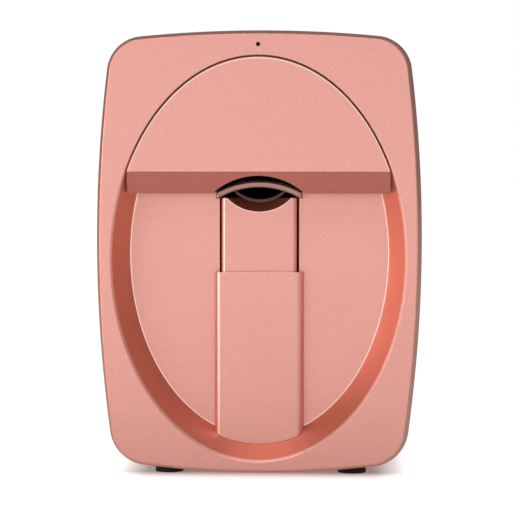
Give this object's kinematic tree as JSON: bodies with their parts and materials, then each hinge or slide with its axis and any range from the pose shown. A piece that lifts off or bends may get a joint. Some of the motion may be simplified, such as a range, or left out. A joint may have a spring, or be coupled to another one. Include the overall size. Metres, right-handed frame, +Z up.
{
  "type": "nail art printer",
  "caption": "Bench-top nail printer: bowed case with an oval hand recess, a lift-up cartridge lid, a sprung finger rest under an arched port, and an ink carriage on a two-axis gantry.",
  "frame": {"origin": "centre of the footprint, on the surface the rubber feet stand on", "axes": "+Z up, -Y towards the user, +X to the user's right"},
  "size_m": [0.158, 0.124, 0.2175],
  "materials": {
    "case_paint": "satin metallic paint",
    "port_trim": "satin",
    "dark_plastic": "fine texture",
    "rubber": "matte",
    "steel": "brushed",
    "brass": "turned",
    "board": "solder mask",
    "lens": "clear",
    "cell_wrap": "heat-shrink film"
  },
  "bodies": {
    "case": {"base_cover": "dark_plastic", "battery_cells": "cell_wrap", "battery_tray": "dark_plastic", "bezel_screws": "steel", "board_screws": "steel", "camera_bracket": "dark_plastic", "capping_pad": "rubber", "catch_magnets": "steel", "chassis": "steel", "chassis_screws": "steel", "column_cover": "case_paint", "feed_motor": "steel", "finger_port_rim": "port_trim", "front_housing": "case_paint", "hand_plate": "case_paint", "hinge_lugs": "dark_plastic", "hinge_pin": "steel", "indicator_board": "board", "indicator_lens": "lens", "light_bar": "dark_plastic", "main_board": "board", "main_shell": "case_paint", "nail_camera": "board", "power_inlet": "dark_plastic", "power_switch": "dark_plastic", "print_deck": "steel", "rail_blocks": "dark_plastic", "rear_cover": "case_paint", "rear_cover_screws": "steel", "rest_bridge": "dark_plastic", "rest_guide_rods": "steel", "rest_springs": "steel", "rubber_feet": "rubber", "track_rods": "steel"},
    "lid": {"lid": "case_paint", "lid_hinge_bracket": "steel", "lid_magnets": "steel"},
    "finger_rest": {"finger_rest": "case_paint"},
    "gantry": {"gantry_frame": "dark_plastic", "lead_nut": "brass", "beam_rods": "steel", "scan_motor": "steel", "scan_belt": "rubber"},
    "carriage": {"carriage": "dark_plastic", "carriage_bushings": "dark_plastic", "ink_cartridge": "dark_plastic"},
    "lead_screw": {"lead_screw": "steel"},
    "drive_pulley": {"drive_pulley": "brass"},
    "idler_pulley": {"idler_pulley": "brass"},
    "power_button": {"power_button": "case_paint"}
  },
  "joints": [
    {"name": "lid_hinge", "type": "hinge", "parent": "case", "child": "lid", "pos_m": [0, -0.0573, 0.2095], "axis": [-1, 0, 0], "range_deg": [0, 75]},
    {"name": "finger_rest_slide", "type": "slide", "parent": "case", "child": "finger_rest", "axis": [0, 0, -1], "range_m": [0, 0.011], "stiffness_N_per_m": 60, "springref_m": -0.015, "deforming": ["rest_springs"]},
    {"name": "gantry_feed", "type": "slide", "parent": "case", "child": "gantry", "axis": [0, -1, 0], "range_m": [0, 0.034]},
    {"name": "carriage_scan", "type": "slide", "parent": "gantry", "child": "carriage", "axis": [1, 0, 0], "range_m": [-0.025, 0.025]},
    {"name": "lead_screw_turn", "type": "hinge", "parent": "case", "child": "lead_screw", "pos_m": [-0.0485, 0, 0.1502], "axis": [0, 1, 0], "range_deg": [0, 6130]},
    {"name": "drive_pulley_turn", "type": "hinge", "parent": "gantry", "child": "drive_pulley", "pos_m": [-0.0485, 0.0398, 0.1712], "axis": [0, 1, 0], "range_deg": [-280, 280]},
    {"name": "idler_pulley_turn", "type": "hinge", "parent": "gantry", "child": "idler_pulley", "pos_m": [0.0485, 0.0398, 0.1712], "axis": [0, 1, 0], "range_deg": [-280, 280]},
    {"name": "power_button_press", "type": "slide", "parent": "case", "child": "power_button", "axis": [0, -1, 0], "range_m": [0, 0.0008], "stiffness_N_per_m": 500, "springref_m": -0.0008}
  ],
  "couplings": [
    {"joint": "lead_screw_turn", "follows": "gantry_feed", "rad_per_m": 3141.6},
    {"joint": "drive_pulley_turn", "follows": "carriage_scan", "rad_per_m": 194.18},
    {"joint": "idler_pulley_turn", "follows": "carriage_scan", "rad_per_m": 194.18}
  ]
}
